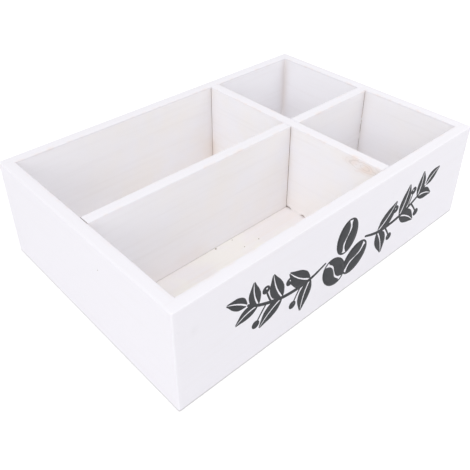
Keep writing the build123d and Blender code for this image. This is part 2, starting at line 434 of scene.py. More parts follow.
def steps(start, end, size, extra=()):
    # values from start to end about a size apart, with the extra ones let in
    count = max(round((end - start) / size), 1)
    values = [start + (end - start) * k / count for k in range(count + 1)]
    values = [v for v in values if all(abs(v - e) > 0.3 * size for e in extra) or v in (start, end)]
    return sorted(values + list(extra))


def addRows(bm, rows, closed):
    # rows of points become rows of vertices, with a band of quads between neighbours
    made = [[bm.verts.new(p) for p in row] for row in rows]
    for low, high in zip(made, made[1:]):
        for k in range(len(low) if closed else len(low) - 1):
            n = (k + 1) % len(low)
            bm.faces.new((low[k], low[n], high[n], high[k]))
    return made


inset = boardForm["bareInset"]
wallX = steps(leftHigh.x, rightLow.x, boardForm["stepAlong"], (crossLow.x + inset, crossHigh.x - inset))
wallY = steps(frontHigh.y, backLow.y, boardForm["stepAlong"], (longLow.y + inset, longHigh.y - inset))
rimRows = [2.2 * mm, 4.7 * mm]  # lines along the rim, from its inner round
tipX = [rightLow.x + boardForm["rimRound"] + r for r in (0, *rimRows)]
tipX.append(frontHigh.x - boardForm["cornerRound"])
tipY = [backLow.y, *(backLow.y + boardForm["rimRound"] + r for r in (0, *rimRows))]
tipY.append(backHigh.y - boardForm["cornerRound"])
skinX = [-x for x in reversed(tipX)] + wallX[1:-1] + tipX
skinY = [-y for y in reversed(tipY)] + wallY[1:-1] + tipY


def outerLoop(z, inward):
    # once round the outside, moved in from the faces
    radius = boardForm["cornerRound"] - inward
    x, y = frontHigh.x - inward, backHigh.y - inward
    cx, cy = skinX[-1], skinY[-1]
    arc = [(math.sin(a) * radius, math.cos(a) * radius) for a in quarter[1:-1]]
    loop = [(px, -y, z) for px in skinX] + [(cx + s, -cy - c, z) for s, c in arc]
    loop += [(x, py, z) for py in skinY] + [(cx + c, cy + s, z) for s, c in arc]
    loop += [(-px, y, z) for px in skinX] + [(-cx - s, cy + c, z) for s, c in arc]
    loop += [(-x, -py, z) for py in skinY] + [(-cx - c, -cy - s, z) for s, c in arc]
    return loop


def innerLoop(z, outward):
    # once round the inside; the ends of the short sides stay put, so that the boards can part there
    x, y = rightLow.x + outward, backLow.y + outward
    loop = [(-x, -y, z)] + [(px, -y, z) for px in wallX[1:-1]] + [(x, -y, z)]
    loop += [(x, py, z) for py in wallY]
    loop += [(x, y, z)] + [(-px, y, z) for px in wallX[1:-1]] + [(-x, y, z)]
    loop += [(-x, -py, z) for py in wallY]
    return loop


def recessLoop(z):
    x, y = rightLow.x + boardForm["recess"], backLow.y + boardForm["recess"]
    radius = boardForm["recessCorner"]
    loop = []
    for turn, (cx, cy) in enumerate(((x, y), (-x, y), (-x, -y), (x, -y))):
        for k in range(7):
            a = math.radians(90 * turn + 15 * k)
            loop.append((cx - math.copysign(radius, cx) + radius * math.cos(a),
                         cy - math.copysign(radius, cy) + radius * math.sin(a), z))
    return loop


def openEdges(bm, z):
    return [e for e in bm.edges if e.is_boundary and all(abs(v.co.z - z) < 1e-7 for v in e.verts)]


def cutFaces(bm, faces, point, normal):
    # parts the faces where a plane crosses them, and hands back what they became
    geom = set(faces)
    for face in faces:
        geom.update(face.edges)
        geom.update(face.verts)
    out = bmesh.ops.bisect_plane(bm, geom=list(geom), dist=1e-6, plane_co=point, plane_no=normal)
    return [g for g in out["geom"] if isinstance(g, bmesh.types.BMFace)]


def frameMesh():
    # the four walls in one skin, so that the paint runs on over their joints
    bm = bmesh.new()
    rim, foot = boardForm["rimRound"], boardForm["footRound"]
    levels = steps(foot, rimTop - rim, boardForm["stepAcross"])
    outside = [outerLoop(foot - foot * math.sin(a), foot - foot * math.cos(a)) for a in quarter[:0:-1]]
    outside += [outerLoop(z, 0) for z in levels]
    outside += [outerLoop(rimTop - rim + rim * math.sin(a), rim - rim * math.cos(a)) for a in quarter[1:]]
    addRows(bm, outside, True)
    levels = steps(floorTop, rimTop - rim, boardForm["stepAcross"])
    inside = [innerLoop(z, 0) for z in levels]
    inside += [innerLoop(rimTop - rim + rim * math.sin(a), rim - rim * math.cos(a)) for a in quarter[1:]]
    addRows(bm, inside, True)
    bmesh.ops.remove_doubles(bm, verts=bm.verts, dist=1e-7)
    # flat of the rim: four strips, then the corners
    x0, y0 = rightLow.x + rim, backLow.y + rim
    rowsX, rowsY = [(0, *rimRows, high - rim - low) for high, low in ((frontHigh.x, x0), (backHigh.y, y0))]
    stripX = [-x0, *wallX[1:-1], x0]
    for sign in (-1, 1):
        addRows(bm, [[(px, sign * (y0 + r), rimTop) for px in stripX] for r in rowsY], False)
        addRows(bm, [[(sign * (x0 + r), py, rimTop) for py in wallY] for r in rowsX], False)
    bmesh.ops.remove_doubles(bm, verts=bm.verts, dist=1e-7)
    made = bmesh.ops.holes_fill(bm, edges=openEdges(bm, rimTop), sides=0)["faces"]
    corners = [f for f in made if f.calc_area() < 1e-4]
    for axis, lines in ((0, tipX[1:-1]), (1, tipY[2:-1])):
        for value in lines:
            for sign in (-1, 1):
                point, normal = Vector((0, 0, 0)), Vector((0, 0, 0))
                point[axis], normal[axis] = sign * value, 1
                corners = cutFaces(bm, corners, point, normal)
    # underside, with the recess that takes the base panel
    rims = [openEdges(bm, 0), openEdges(bm, floorTop)]
    recess = addRows(bm, [recessLoop(0), recessLoop(floorTop)], True)
    hidden = set()
    for rimEdges, loop in zip(rims, recess):
        around = rimEdges + [bm.edges.get((a, b)) for a, b in zip(loop, loop[1:] + loop[:1])]
        made = bmesh.ops.triangle_fill(bm, edges=around)["geom"]
        hidden.update(f for f in made if isinstance(f, bmesh.types.BMFace))
    hidden.update(f for v in recess[0] for f in v.link_faces)
    for sign in (-1, 1):
        hidden = cutFaces(bm, hidden, (0, sign * backLow.y, 0), (0, 1, 0))
    bmesh.ops.recalc_face_normals(bm, faces=bm.faces)
    return bm


crack = {  # where the cross divider's foot stands off the base, in the large front bay
    "ends": (longLow.y - 15 * mm, longLow.y),  # widest at the long divider
    "height": 2.3 * mm,
    "depth": 5 * mm,
    "chip": (-26.5 * mm, -20.5 * mm, 1.5 * mm),  # a second, shorter one and its height
    "filled": (-20.3 * mm, -10.5 * mm),  # where paint fills the thin part
}


def crackHeight(place):
    start, end = crack["ends"]
    chipStart, chipEnd, chipHeight = crack["chip"]
    tall = crack["height"] * clamp((place - start) / (end - start)) ** 2.4 if place < end else 0
    if chipStart < place < chipEnd:
        tall = max(tall, chipHeight * math.sin(math.pi * (place - chipStart) / (chipEnd - chipStart)))
    return tall


def dividerMesh(node):
    # a divider stands on the base; its top edges are eased
    low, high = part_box(node)
    bm = bmesh.new()
    run = 0 if high.x - low.x > high.y - low.y else 1
    side = 1 - run
    middle, half = (low[side] + high[side]) / 2, (high[side] - low[side]) / 2
    rim, foot = boardForm["rimRound"], boardForm["dividerFoot"]
    section = [(half - foot + foot * math.cos(a), low.z + foot - foot * math.sin(a)) for a in quarter[::-1]]
    section += [(half, z) for z in steps(low.z + foot, high.z - rim, boardForm["stepAcross"])[1:]]
    section += [(half - rim + rim * math.cos(a), high.z - rim + rim * math.sin(a)) for a in quarter[1:]]
    top = steps(-half + rim, half - rim, 2.5 * mm)
    section += [(s, high.z) for s in reversed(top[1:-1])]
    section += [(-s, z) for s, z in reversed(section) if abs(s) > top[-1] - 1e-9]
    feet = len(quarter)  # points of the foot at the end of the section, on the low side
    rows = []
    extra = (longLow.y + inset, longHigh.y - inset) if run == 1 else ()
    for place in steps(low[run], high[run], boardForm["stepAlong"] if run == 0 else 1.2 * mm, extra):
        row = []
        tall = crackHeight(place) if run == 1 else 0
        for k, (s, z) in enumerate(section):
            up = (len(section) - 1 - k) / (feet - 1)  # 0 at the floor, 1 where the foot ends
            if up <= 1 and tall > foot:
                s, z = -half + crack["depth"] * (1 - up) ** 1.5, low.z + tall * up ** 0.35
            p = [0, 0, z]
            p[run], p[side] = place, middle + s
            row.append(p)
        rows.append(row)
    made = addRows(bm, rows, True)
    ends = [bm.faces.new(made[0]), bm.faces.new(made[-1])]
    # the coat runs down over the top of each end
    cutFaces(bm, ends, (0, 0, high.z - boardForm["paintedEnd"]), (0, 0, 1))
    bmesh.ops.recalc_face_normals(bm, faces=bm.faces)
    return bm


def makeReliefTree():
    # moves a surface along its normals by grain that runs one way and by a slow wobble
    tree, given, result = newTree("sandedGrain", {
        "Grain Scale": "Vector", "Relief": "Float", "Wobble": "Float", "Wobble Scale": "Float",
        "Paint": "Material", "Bare Wood": "Material",
    })
    place, normal = [addNode(tree, "GeometryNodeInput" + kind) for kind in ("Position", "Normal")]
    scaled = {0: place, 1: given["Grain Scale"]}
    stretched = addNode(tree, "ShaderNodeVectorMath", {"operation": "MULTIPLY"}, scaled)
    grainLook = {"Scale": 1.0, "Detail": 3.0, "Roughness": 0.55, "Distortion": 0.4}
    grain = addNode(tree, "ShaderNodeTexNoise", grainLook, {"Vector": stretched})
    slow = {"Vector": place, "Scale": given["Wobble Scale"]}
    stray = addNode(tree, "ShaderNodeTexNoise", {"Detail": 1.0}, slow)
    grainHeight, strayHeight = [
        addNode(tree, "ShaderNodeMath", {"operation": "SUBTRACT", 1: 0.5}, {0: noise})
        for noise in (grain, stray)
    ]
    raised = {0: grainHeight, 1: given["Relief"]}
    grainMove = addNode(tree, "ShaderNodeMath", {"operation": "MULTIPLY"}, raised)
    both = {0: strayHeight, 1: given["Wobble"], 2: grainMove}
    move = addNode(tree, "ShaderNodeMath", {"operation": "MULTIPLY_ADD"}, both)
    height = addNode(tree, "ShaderNodeSeparateXYZ", links={"Vector": place}).outputs["Z"]
    # no movement where the foot, the recess and the dividers' feet rest
    free, footFree = [
        addNode(tree, "ShaderNodeMapRange", span(*heights), {"Value": height})
        for heights in ((3.4 * mm, 5 * mm), (0.1 * mm, 2 * mm))
    ]
    outside, bareFaces = [
        addNode(tree, "GeometryNodeInputNamedAttribute", {"data_type": kind, "Name": name})
        for kind, name in (("FLOAT", "outside"), ("BOOLEAN", "bareWood"))
    ]
    outFree = addNode(tree, "ShaderNodeMath", {"operation": "MULTIPLY"}, {0: footFree, 1: outside})
    freeAll = addNode(tree, "ShaderNodeMath", {"operation": "MAXIMUM"}, {0: free, 1: outFree})
    held = addNode(tree, "ShaderNodeMath", {"operation": "MULTIPLY"}, {0: move, 1: freeAll})
    offset = addNode(tree, "ShaderNodeVectorMath", {"operation": "SCALE"}, {0: normal, "Scale": held})
    moved = addNode(tree, "GeometryNodeSetPosition", links={"Geometry": given["Geometry"], "Offset": offset})
    bared = addNode(tree, "GeometryNodeSetMaterial", links={
        "Geometry": realAndPainted(tree, moved, given["Paint"]), "Selection": bareFaces,
        "Material": given["Bare Wood"],
    })
    connect(tree, bared, result)
    return tree


reliefTree = makeReliefTree()


def pastOutside(p):
    # below zero within the walls' outer faces
    return max(abs(p.x) - frontHigh.x, abs(p.y) - backHigh.y)


def isBare(face):
    # sawn faces that the spray missed: undersides, the recess, and where a divider's end hides the wall
    p, n = face.calc_center_median(), face.normal
    if n.z < -0.9 or (p.z < floorTop + 1e-6 and pastOutside(p) < -0.5 * mm):
        return True
    backStrip = abs(p.y - backLow.y) < 0.5 * mm and crossLow.x + inset < p.x < crossHigh.x - inset
    endStrip = (abs(abs(p.x) - rightLow.x) < 0.5 * mm and longLow.y + inset < p.y < longHigh.y - inset)
    return p.z < crossHigh.z - 0.5 * mm and (
        (backStrip and abs(n.y) > 0.9) or (endStrip and abs(n.x) > 0.9)
    )


def isBareOnDivider(run):
    # a divider's ends and foot, and the strips of the cross divider behind the other two
    def test(face):
        p, n = face.calc_center_median(), face.normal
        strip = run == 1 and longLow.y + inset < p.y < longHigh.y - inset and p.z < crossHigh.z - mm
        end = abs(n[run]) > 0.9 and p.z < crossHigh.z - boardForm["paintedEnd"]
        return n.z < -0.5 or end or (strip and abs(n.x) > 0.9)

    return test


coverForm = {  # most, and how soon it fades
    # the coat turns warmer and darker towards the floor
    "warmerTowardsFloor": (0.08, 16 * mm),
    "warmCornerShade": (0.35, 3 * mm),
    # painted shade: grey darkening into the bay corners, and along the foot of the walls inside
    "cornerShade": (0.09, 8 * mm),
    "floorShade": (0.25, 0.8 * mm),
    "foot": (0.9, 2.2 * mm, 1.2 * mm),  # painted shade, a grey line along the outside foot: most, height, and the fade below it
    "topLightShare": 0.15,  # painted light: share of both brighter inside coats that the tops got
    "extraLightAcross": (-40 * mm, 90 * mm),  # painted light in the long bays: from where it starts leftwards, and over how far it grows
    "wearWidth": 1.1 * mm,
}

# Where the coat is thin and the wood warms it, and where warm painted shade lies in corners: middle and reach
# in mm, and how much
thinCoatAndShadeSpots = [
    ((45.5, -76.0, 77.5), (3, 17, 6), 0.3),  # round the knot near the top of the cross divider
    ((45.5, 93.0, 16.0), (20, 12, 30), 0.4),  # warm painted shade in the back corner of the large bay
    ((-60.0, -4.5, 9.0), (13, 3, 9), 0.4),
    ((-95.0, -4.5, 6.0), (26, 3, 12), 0.2),
    ((141.0, 93.0, 58.0), (5, 5, 24), 0.3),  # warm painted shade down the far corner
    ((50.0, 0.0, 30.0), (12, 6, 40), 0.15),
]

# Dull marks on the coat, in the same way: one smudge on the front, and grey painted shade down three inside
# corners
shadesAndSmudges = [
    ((-135.5, -102.0, 60.5), (2.2, 2, 3.5), 0.1),
    # painted shade down the inside corners
    ((141.0, 93.0, 60.0), (5.5, 5.5, 26), 0.16),
    ((45.5, -4.5, 30.0), (4, 4, 30), 0.06),
    ((141.0, -4.5, 50.0), (3, 3, 40), 0.12),
]
bayCorners = [(x, y) for x in bayEdgesX for y in bayEdgesY]


def topEdgeDistance(p):
    # to the nearest top edge of a bay, along the walls or along the divider that the point is on
    overX, overY = abs(p.x) - rightLow.x, abs(p.y) - backLow.y
    if max(overX, overY) > -0.3 * mm:
        return math.hypot(max(overX, 0), max(overY, 0), p.z - rimTop)
    if p.x < crossLow.x - 0.1 * mm or p.x > crossHigh.x + 0.1 * mm:
        side = abs(abs(p.y) - longHigh.y)
    elif abs(p.y) > longHigh.y:
        side = min(abs(p.x - crossLow.x), abs(p.x - crossHigh.x))
    else:
        side = crossHigh.x - crossLow.x
    return math.hypot(side, p.z - crossHigh.z)


def spotDistance(p, centre, reach):
    return sum(((p[k] - centre[k] * mm) / (reach[k] * mm)) ** 2 for k in range(3))


def fade(rule, distance):
    return rule[0] * math.exp(-distance / rule[1])


def storePaintCover(mesh):
    # how far inside the bays each point is, how much painted light brightens the coat there, how thin the
    # coat is with warm painted shade in the corners, how much grey painted shade and smudging darken it, and
    # how worn it is
    for name in coverNames:
        mesh.attributes.new(name, "FLOAT", "POINT")
    inside, extraLight, thinAndShade, grime, wear = [mesh.attributes[name].data for name in coverNames]
    extraLightStart, extraLightSpan = coverForm["extraLightAcross"]
    floorShadeMost, floorShadeHeight = coverForm["floorShade"]
    footShadeMost, footShadeHeight, footShadeFade = coverForm["foot"]
    for i, vertex in enumerate(mesh.vertices):
        p = vertex.co
        beyond = max(abs(p.x) - rightLow.x, abs(p.y) - backLow.y)
        within = 1 - clamp(beyond / (0.8 * mm))
        within *= clamp((rimTop - 0.9 * mm - p.z) / (0.5 * mm))
        topFace = clamp((p.z - rimTop + 0.9 * mm) / (0.4 * mm))
        amount = fade(coverForm["warmerTowardsFloor"], max(p.z - floorTop, 0))
        for *spot, strength in thinCoatAndShadeSpots:
            amount += strength * math.exp(-spotDistance(p, *spot))
        inCorner = min(math.hypot(p.x - x, p.y - y) for x, y in bayCorners)
        # warm painted shade into the bay corners
        amount += fade(coverForm["warmCornerShade"], inCorner)
        # painted light: the bays, and a little of the tops, take the brighter inside coat
        inside[i].value = max(within, coverForm["topLightShare"] * topFace)
        # painted light: full in the rear right bay, half in the front right one, growing leftwards in the
        # long bays
        if p.x > crossHigh.x - mm:
            extraLight[i].value = 1.0 if p.y > 0 else 0.5
        else:
            extraLight[i].value = clamp((extraLightStart - p.x) / extraLightSpan)
        thinAndShade[i].value = min(amount, 1.0) * within
        if within:
            # painted shade: grey along the foot of the walls inside, and into the bay corners
            grime[i].value = floorShadeMost * clamp((floorTop + floorShadeHeight - p.z) / floorShadeHeight)
            grime[i].value += within * fade(coverForm["cornerShade"], inCorner)
        else:
            # painted shade: a grey line along the outside foot
            grime[i].value = footShadeMost * clamp((footShadeHeight - p.z) / footShadeFade)
        for *spot, strength in shadesAndSmudges:
            far = spotDistance(p, *spot)
            if far < 6:
                grime[i].value += strength * math.exp(-far)
        wear[i].value = math.exp(-((topEdgeDistance(p) / coverForm["wearWidth"]) ** 2))


def setSharp(bm):
    # faces blend over the eased edges and break at the square ones
    for face in bm.faces:
        face.smooth = True
    for edge in bm.edges:
        edge.smooth = edge.is_manifold and edge.calc_face_angle(0) < math.radians(35)


def reliefValues(run, coat):
    return {
        "Grain Scale": grainScale(run == 0), "Relief": boardForm["relief"], "Wobble": boardForm["wobble"],
        "Wobble Scale": 1 / boardForm["wobbleSize"], "Paint": coat, "Bare Wood": pine
    }


def toPiece(bm, name, run, bareTest):
    bare = bm.faces.layers.bool.new("bareWood")
    outer = bm.verts.layers.float.new("outside")
    for face in bm.faces:
        face[bare] = bareTest(face)
    for v in bm.verts:
        v[outer] = float(pastOutside(v.co) > -mm)
    setSharp(bm)
    mesh = bpy.data.meshes.new(name)
    bm.to_mesh(mesh)
    bm.free()
    piece = newPiece(name, mesh)
    runTree(piece, reliefTree, reliefValues(run, paintAlongX if run == 0 else paintAlongY))
    return piece


walls = toPiece(frameMesh(), "walls_in_one", 0, isBare)


def partWall(name, node, run, belongs):
    # takes one board out of the skin and closes its joint faces
    bm = bmesh.new()
    bm.from_mesh(walls.data)
    bmesh.ops.delete(bm, geom=[f for f in bm.faces if not belongs(f.calc_center_median())], context="FACES")
    bare = bm.faces.layers.bool["bareWood"]
    made = bmesh.ops.holes_fill(bm, edges=[e for e in bm.edges if e.is_boundary], sides=0)["faces"]
    for face in made:
        face[bare] = True
        face.material_index = 1
        for edge in face.edges:
            edge.smooth = False
    bmesh.ops.dissolve_degenerate(bm, dist=0.02 * mm, edges=bm.edges)
    bmesh.ops.recalc_face_normals(bm, faces=bm.faces)
    mesh = bpy.data.meshes.new(name)
    bm.to_mesh(mesh)
    bm.free()
    for material in (paintAlongX if run == 0 else paintAlongY, pine):
        mesh.materials.append(material)
    storePaintCover(mesh)
    handOver(newPiece(name, mesh), "painted_wall_boards", node)
    return len(made)


def beyondEnds(p):
    # how far a face is past the joints; above the recess the long walls' inner faces count as past them
    return abs(p.y) - backLow.y + (0.3 * mm if p.z > floorTop + 0.1 * mm else 0)


print("joints closed:", [
    partWall("front_painted", "front_board", 0, lambda p: beyondEnds(p) > 0 and p.y < 0),
    partWall("back_painted", "back_board", 0, lambda p: beyondEnds(p) > 0 and p.y > 0),
    partWall("left_end_painted", "left_end_board", 1, lambda p: beyondEnds(p) <= 0 and p.x < 0),
    partWall("right_end_painted", "right_end_board", 1, lambda p: beyondEnds(p) <= 0 and p.x > 0),
])
bpy.data.objects.remove(walls)

for node, run in (("cross_divider", 1), ("long_divider", 0), ("short_divider", 0)):
    partition = toPiece(dividerMesh(node), node.replace("divider", "partition"), run, isBareOnDivider(run))
    storePaintCover(partition.data)
    handOver(partition, "painted_dividers", node)
print("boards done")


# Joint paint: the spray bridges a tight joint with a small fillet, and breaks over an open one

jointPaint = {
    "reach": 0.8 * mm,  # of the fillet, along each board
    "wideReach": 1.0 * mm,  # over a saw gap
    "topReach": 0.4 * mm,
    "footReach": 0.6 * mm,
    "grooveReach": 0.38 * mm,  # paint that sank into a gap and stayed below the faces
    "step": 0.7 * mm,
    "breakLength": 9 * mm,
    "seed": 3.0,
}


def makeJointPaintTree():
    # lines with facing, open and reach on their points become a broken bead with a hollow face
    tree, given, result = newTree(
        "jointPaint", {"Step": "Float", "Break Length": "Float", "Seed": "Float", "Paint": "Material"}
    )
    facing, opening, reach, coverKept = [
        addNode(tree, "GeometryNodeInputNamedAttribute", {
            "data_type": "FLOAT_VECTOR" if name == "facing" else "FLOAT", "Name": name
        })
        for name in ("facing", "open", "reach", "cover")
    ]
    lines = addNode(tree, "GeometryNodeMeshToCurve", links={"Mesh": given["Geometry"]})
    stepped = {"Curve": lines, "Length": given["Step"]}
    fine = addNode(tree, "GeometryNodeResampleCurve", {"mode": "LENGTH"}, stepped)
    place = addNode(tree, "GeometryNodeInputPosition")
    often = addNode(tree, "ShaderNodeMath", {"operation": "DIVIDE", 0: 1.0}, {1: given["Break Length"]})
    breaks = addNode(
        tree, "ShaderNodeTexNoise", {"noise_dimensions": "4D", "Detail": 3.0, "Roughness": 0.7},
        {"Vector": place, "W": given["Seed"], "Scale": often}
    )
    spread = addNode(tree, "ShaderNodeMapRange", span(0.3, 0.7), {"Value": breaks})
    above = addNode(tree, "ShaderNodeMath", {"operation": "SUBTRACT"}, {0: spread, 1: opening})
    coverRange = {"interpolation_type": "SMOOTHSTEP", "From Min": -0.05, "From Max": 0.05}
    cover = addNode(tree, "ShaderNodeMapRange", coverRange, {"Value": above})
    lumps = addNode(tree, "ShaderNodeTexNoise", {"Scale": 1 / (2.5 * mm), "Detail": 1.0}, {"Vector": place})
    lumpy = addNode(tree, "ShaderNodeMapRange", span(0, 1, 0.75, 1.25), {"Value": lumps})
    width = addNode(tree, "ShaderNodeMath", {"operation": "MULTIPLY"}, {0: cover, 1: lumpy})
    asCover = {"data_type": "FLOAT", "domain": "POINT", "Name": "cover"}
    kept = addNode(tree, "GeometryNodeStoreNamedAttribute", asCover, {"Geometry": fine, "Value": width})
    chain = addNode(tree, "GeometryNodeCurveToMesh", links={"Curve": kept})
    bare = addNode(tree, "ShaderNodeMath", {"operation": "LESS_THAN", 1: 0.15}, {0: coverKept})
    missing = {"Geometry": chain, "Selection": bare}
    broken = addNode(tree, "GeometryNodeDeleteGeometry", {"domain": "POINT"}, missing)
    beads = addNode(tree, "GeometryNodeMeshToCurve", links={"Mesh": broken})
    faced = addNode(tree, "GeometryNodeSetCurveNormal", {"mode": "FREE"}, {"Curve": beads, "Normal": facing})
    size = addNode(tree, "ShaderNodeMath", {"operation": "MULTIPLY"}, {0: coverKept, 1: reach})
    # x runs out of the joint; both ends of the hollow face are buried in the boards
    corners = addNode(tree, "GeometryNodeCurvePrimitiveQuadrilateral", {
        "mode": "POINTS", "Point 1": (0.62, 0.8, 0), "Point 2": (0.4, 0, 0), "Point 3": (0.62, -0.8, 0),
        "Point 4": (-0.25, 0, 0),
    })
    hollow = addNode(tree, "GeometryNodeCurveSplineType", {"spline_type": "CATMULL_ROM"}, {"Curve": corners})
    profile = addNode(tree, "GeometryNodeResampleCurve", {"mode": "COUNT", "Count": 12}, {"Curve": hollow})
    sweep = {"Curve": faced, "Profile Curve": profile, "Scale": size}
    swept = addNode(tree, "GeometryNodeCurveToMesh", {"Fill Caps": True}, sweep)
    connect(tree, realAndPainted(tree, swept, given["Paint"]), result)
    return tree


def jointLines():
    # every joint as its points, the way that it faces, how open it is, and its reach
    normal, wide, groove = jointPaint["reach"], jointPaint["wideReach"], jointPaint["grooveReach"]
    lines = []

    def upright(x, y, outX, outY, open, reach, top):
        heights = ((floorTop, 1), (top - 1.4 * mm, 1), (top - 0.5 * mm, 0.7), (top - 0.1 * mm, 0.25))
        lines.append([((x, y, z), (outX, outY, 0), open, reach * part) for z, part in heights])

    def level(start, end, out, open, reach):
        lines.append([(start, out, open, reach), (end, out, open, reach)])

    for sx in (-1, 1):
        for sy in (-1, 1):
            upright(sx * rightLow.x, sy * backLow.y, -sx, -sy, -0.2, normal, rimTop)
    for side, x in ((-1, crossLow.x), (1, crossHigh.x)):
        upright(x, frontHigh.y, side, 1, -0.2, normal, crossHigh.z)
        upright(x - side * 1.6 * mm, backLow.y - 0.25 * mm, side, 0, -0.2, groove, crossHigh.z)
    for side, y in ((-1, longLow.y), (1, longHigh.y)):
        upright(leftHigh.x, y, 1, side, 0.5, wide, longHigh.z)
        upright(crossLow.x, y, -1, side, 0.8, wide, longHigh.z)
        upright(crossHigh.x, y, 1, side, 0.05, normal, shortHigh.z)
        upright(rightLow.x, y, -1, side, 0.66, wide, shortHigh.z)
    # over the tops: small beads at the tight joints, and plugs in the gaps
    small, z = jointPaint["topReach"], crossHigh.z
    level((crossLow.x, frontHigh.y, z), (crossHigh.x, frontHigh.y, z), (0, 1, 2), -0.2, small)
    plugY, plugX = (backLow.y + crossHigh.y) / 2, (rightLow.x + shortHigh.x) / 2
    plugZ = z - 0.2 * mm
    level((crossLow.x, plugY, plugZ), (crossHigh.x, plugY, plugZ), (0, 0, 1), -0.2, small)
    level((plugX, longLow.y, plugZ), (plugX, longHigh.y, plugZ), (0, 0, 1), 0.15, small)
    foot = [(crossLow.x, y, floorTop) for y in crack["filled"]]
    level(*foot, (-1, 0, 1), 0.15, jointPaint["footReach"])
    valley = [(crossHigh.x - 0.1 * mm, y, z - 0.75 * mm) for y in (longLow.y, longHigh.y)]
    level(*valley, (0, 0, 1), -0.2, wide)
    return lines


def traceLines(name, lines):
    # lines of points become edges, with what each point carries as attributes
    mesh = bpy.data.meshes.new(name)
    points = [point for line in lines for point in line]
    starts = [sum(len(line) for line in lines[:k]) for k in range(len(lines))]
    edges = [(start + k, start + k + 1) for start, line in zip(starts, lines) for k in range(len(line) - 1)]
    mesh.from_pydata([point[0] for point in points], edges, [])
    return mesh, points


jointMesh, jointPoints = traceLines("joint_paint", jointLines())
for name, kind, column in (("facing", "FLOAT_VECTOR", 1), ("open", "FLOAT", 2), ("reach", "FLOAT", 3)):
    values = jointMesh.attributes.new(name, kind, "POINT").data
    for k, point in enumerate(jointPoints):
        if kind == "FLOAT":
            values[k].value = point[column]
        else:
            values[k].vector = Vector(point[column]).normalized()
jointPiece = newPiece("joint_paint", jointMesh)
runTree(jointPiece, makeJointPaintTree(), {
    "Step": jointPaint["step"],
    "Break Length": jointPaint["breakLength"],
    "Seed": jointPaint["seed"],
    "Paint": paintAlongX,
})
turnOutwards(jointPiece.data)
storePaintCover(jointPiece.data)
handOver(jointPiece, "painted_wall_boards")
print("joint paint done:", len(jointPiece.data.polygons))


# Marks that lie on a face are made in a plane, and then laid down onto the board below them

def makeLayTree():
    tree, given, result = newTree("layOnBoard", {"Board": "Object", "Toward": "Vector", "Plane": "Float"})
    toward = given["Toward"]
    place = addNode(tree, "GeometryNodeInputPosition")
    inPlace = {"transform_space": "RELATIVE"}
    board = addNode(tree, "GeometryNodeObjectInfo", inPlace, {"Object": given["Board"]})
    depth = addNode(tree, "ShaderNodeVectorMath", {"operation": "DOT_PRODUCT"}, {0: place, 1: toward})
    height = addNode(tree, "ShaderNodeMath", {"operation": "SUBTRACT"}, {0: given["Plane"], 1: depth})
    away = addNode(tree, "ShaderNodeVectorMath", {"operation": "SCALE", "Scale": -5 * mm}, {0: toward})
    start = addNode(tree, "ShaderNodeVectorMath", {"operation": "ADD"}, {0: place, 1: away})
    shot = {"Target Geometry": board.outputs["Geometry"], "Source Position": start, "Ray Direction": toward}
    ray = addNode(tree, "GeometryNodeRaycast", {"Ray Length": 12 * mm}, shot).outputs
    back = addNode(tree, "ShaderNodeMath", {"operation": "MULTIPLY", 1: -1.0}, {0: height})
    proud = addNode(tree, "ShaderNodeVectorMath", {"operation": "SCALE"}, {0: toward, "Scale": back})
    laid = addNode(tree, "ShaderNodeVectorMath", {"operation": "ADD"}, {0: ray["Hit Position"], 1: proud})
    down = {"Geometry": given["Geometry"], "Selection": ray["Is Hit"], "Position": laid}
    connect(tree, addNode(tree, "GeometryNodeSetPosition", links=down), result)
    return tree


layTree = makeLayTree()


# Artwork: three coffee beans between two sprigs, in brush strokes

sprig = {  # millimetres, from the middle of the front board; the other side is its mirror image
    "stem": [(21, 0.5), (39, -4.5), (62, -3.5), (83, 3.5), (95, 11)],
    "leaves": [(0.22, 28, 12.5), (0.52, 27, 12), (0.8, 22, 10)],  # place along the stem, length, width
    "leafForm": [(0.02, 0.16), (0.14, 0.6), (0.34, 1.0), (0.58, 0.92), (0.8, 0.5), (0.98, 0.12)],
    "leafAngle": 56,
    "lowerLeaf": 0.93,  # its length over that of the leaf above
    "leafBend": 1.6,
    "tipLeaf": (20, 9.5),
    "rib": 0.55,  # half width of the bare rib
    "berry": 3.3,
    "berries": [  # where the stalk leaves the stem, and the berry
        ((49, -4.4), (57.4, 6.4)),
        ((46, -4.5), (53.4, -17.0)),
        ((74, 0.2), (78.8, 13.2)),
        ((78, 1.6), (87.4, -11.0)),
    ],
}
beans = {  # millimetres
    "halfWidth": 10.0,
    "halfHeight": 14.0,
    "crease": 0.6,  # half width of the bare crease
    "outline": 0.9,  # half width of the ring round a bean
    "places": [(0.0, 12.0, -12), (-11.2, -13.4, 38), (11.6, -13.0, -52)],  # across, up, tilt
}
brush = {
    "step": 0.45 * mm,
    "flatness": 0.03,  # paint thickness over the half width of a stroke
    "ragged": 0.16,
}
artMiddle = (0.0, 41.0)  # on the front board, millimetres


def placed(x, z, along, aside, angle, half):
    # a point of a stroke, turned about the place that its form hangs on
    cos, sin = math.cos(angle), math.sin(angle)
    return x + along * cos - aside * sin, z + along * sin + aside * cos, half


def leafStrokes(x, z, angle, length, width, bend):
    # two pressed strokes with the rib left bare between them, which close at the tip
    strokes = []
    for side in (1, -1):
        stroke = []
        for run, fullness in sprig["leafForm"]:
            outer = fullness * width / 2
            inner = sprig["rib"] * (1 - run) ** 0.5
            aside = side * (outer + inner) / 2 + bend * math.sin(math.pi * run)
            stroke.append(placed(x, z, run * length, aside, angle, max((outer - inner) / 2, 0.3)))
        strokes.append(stroke)
    return strokes


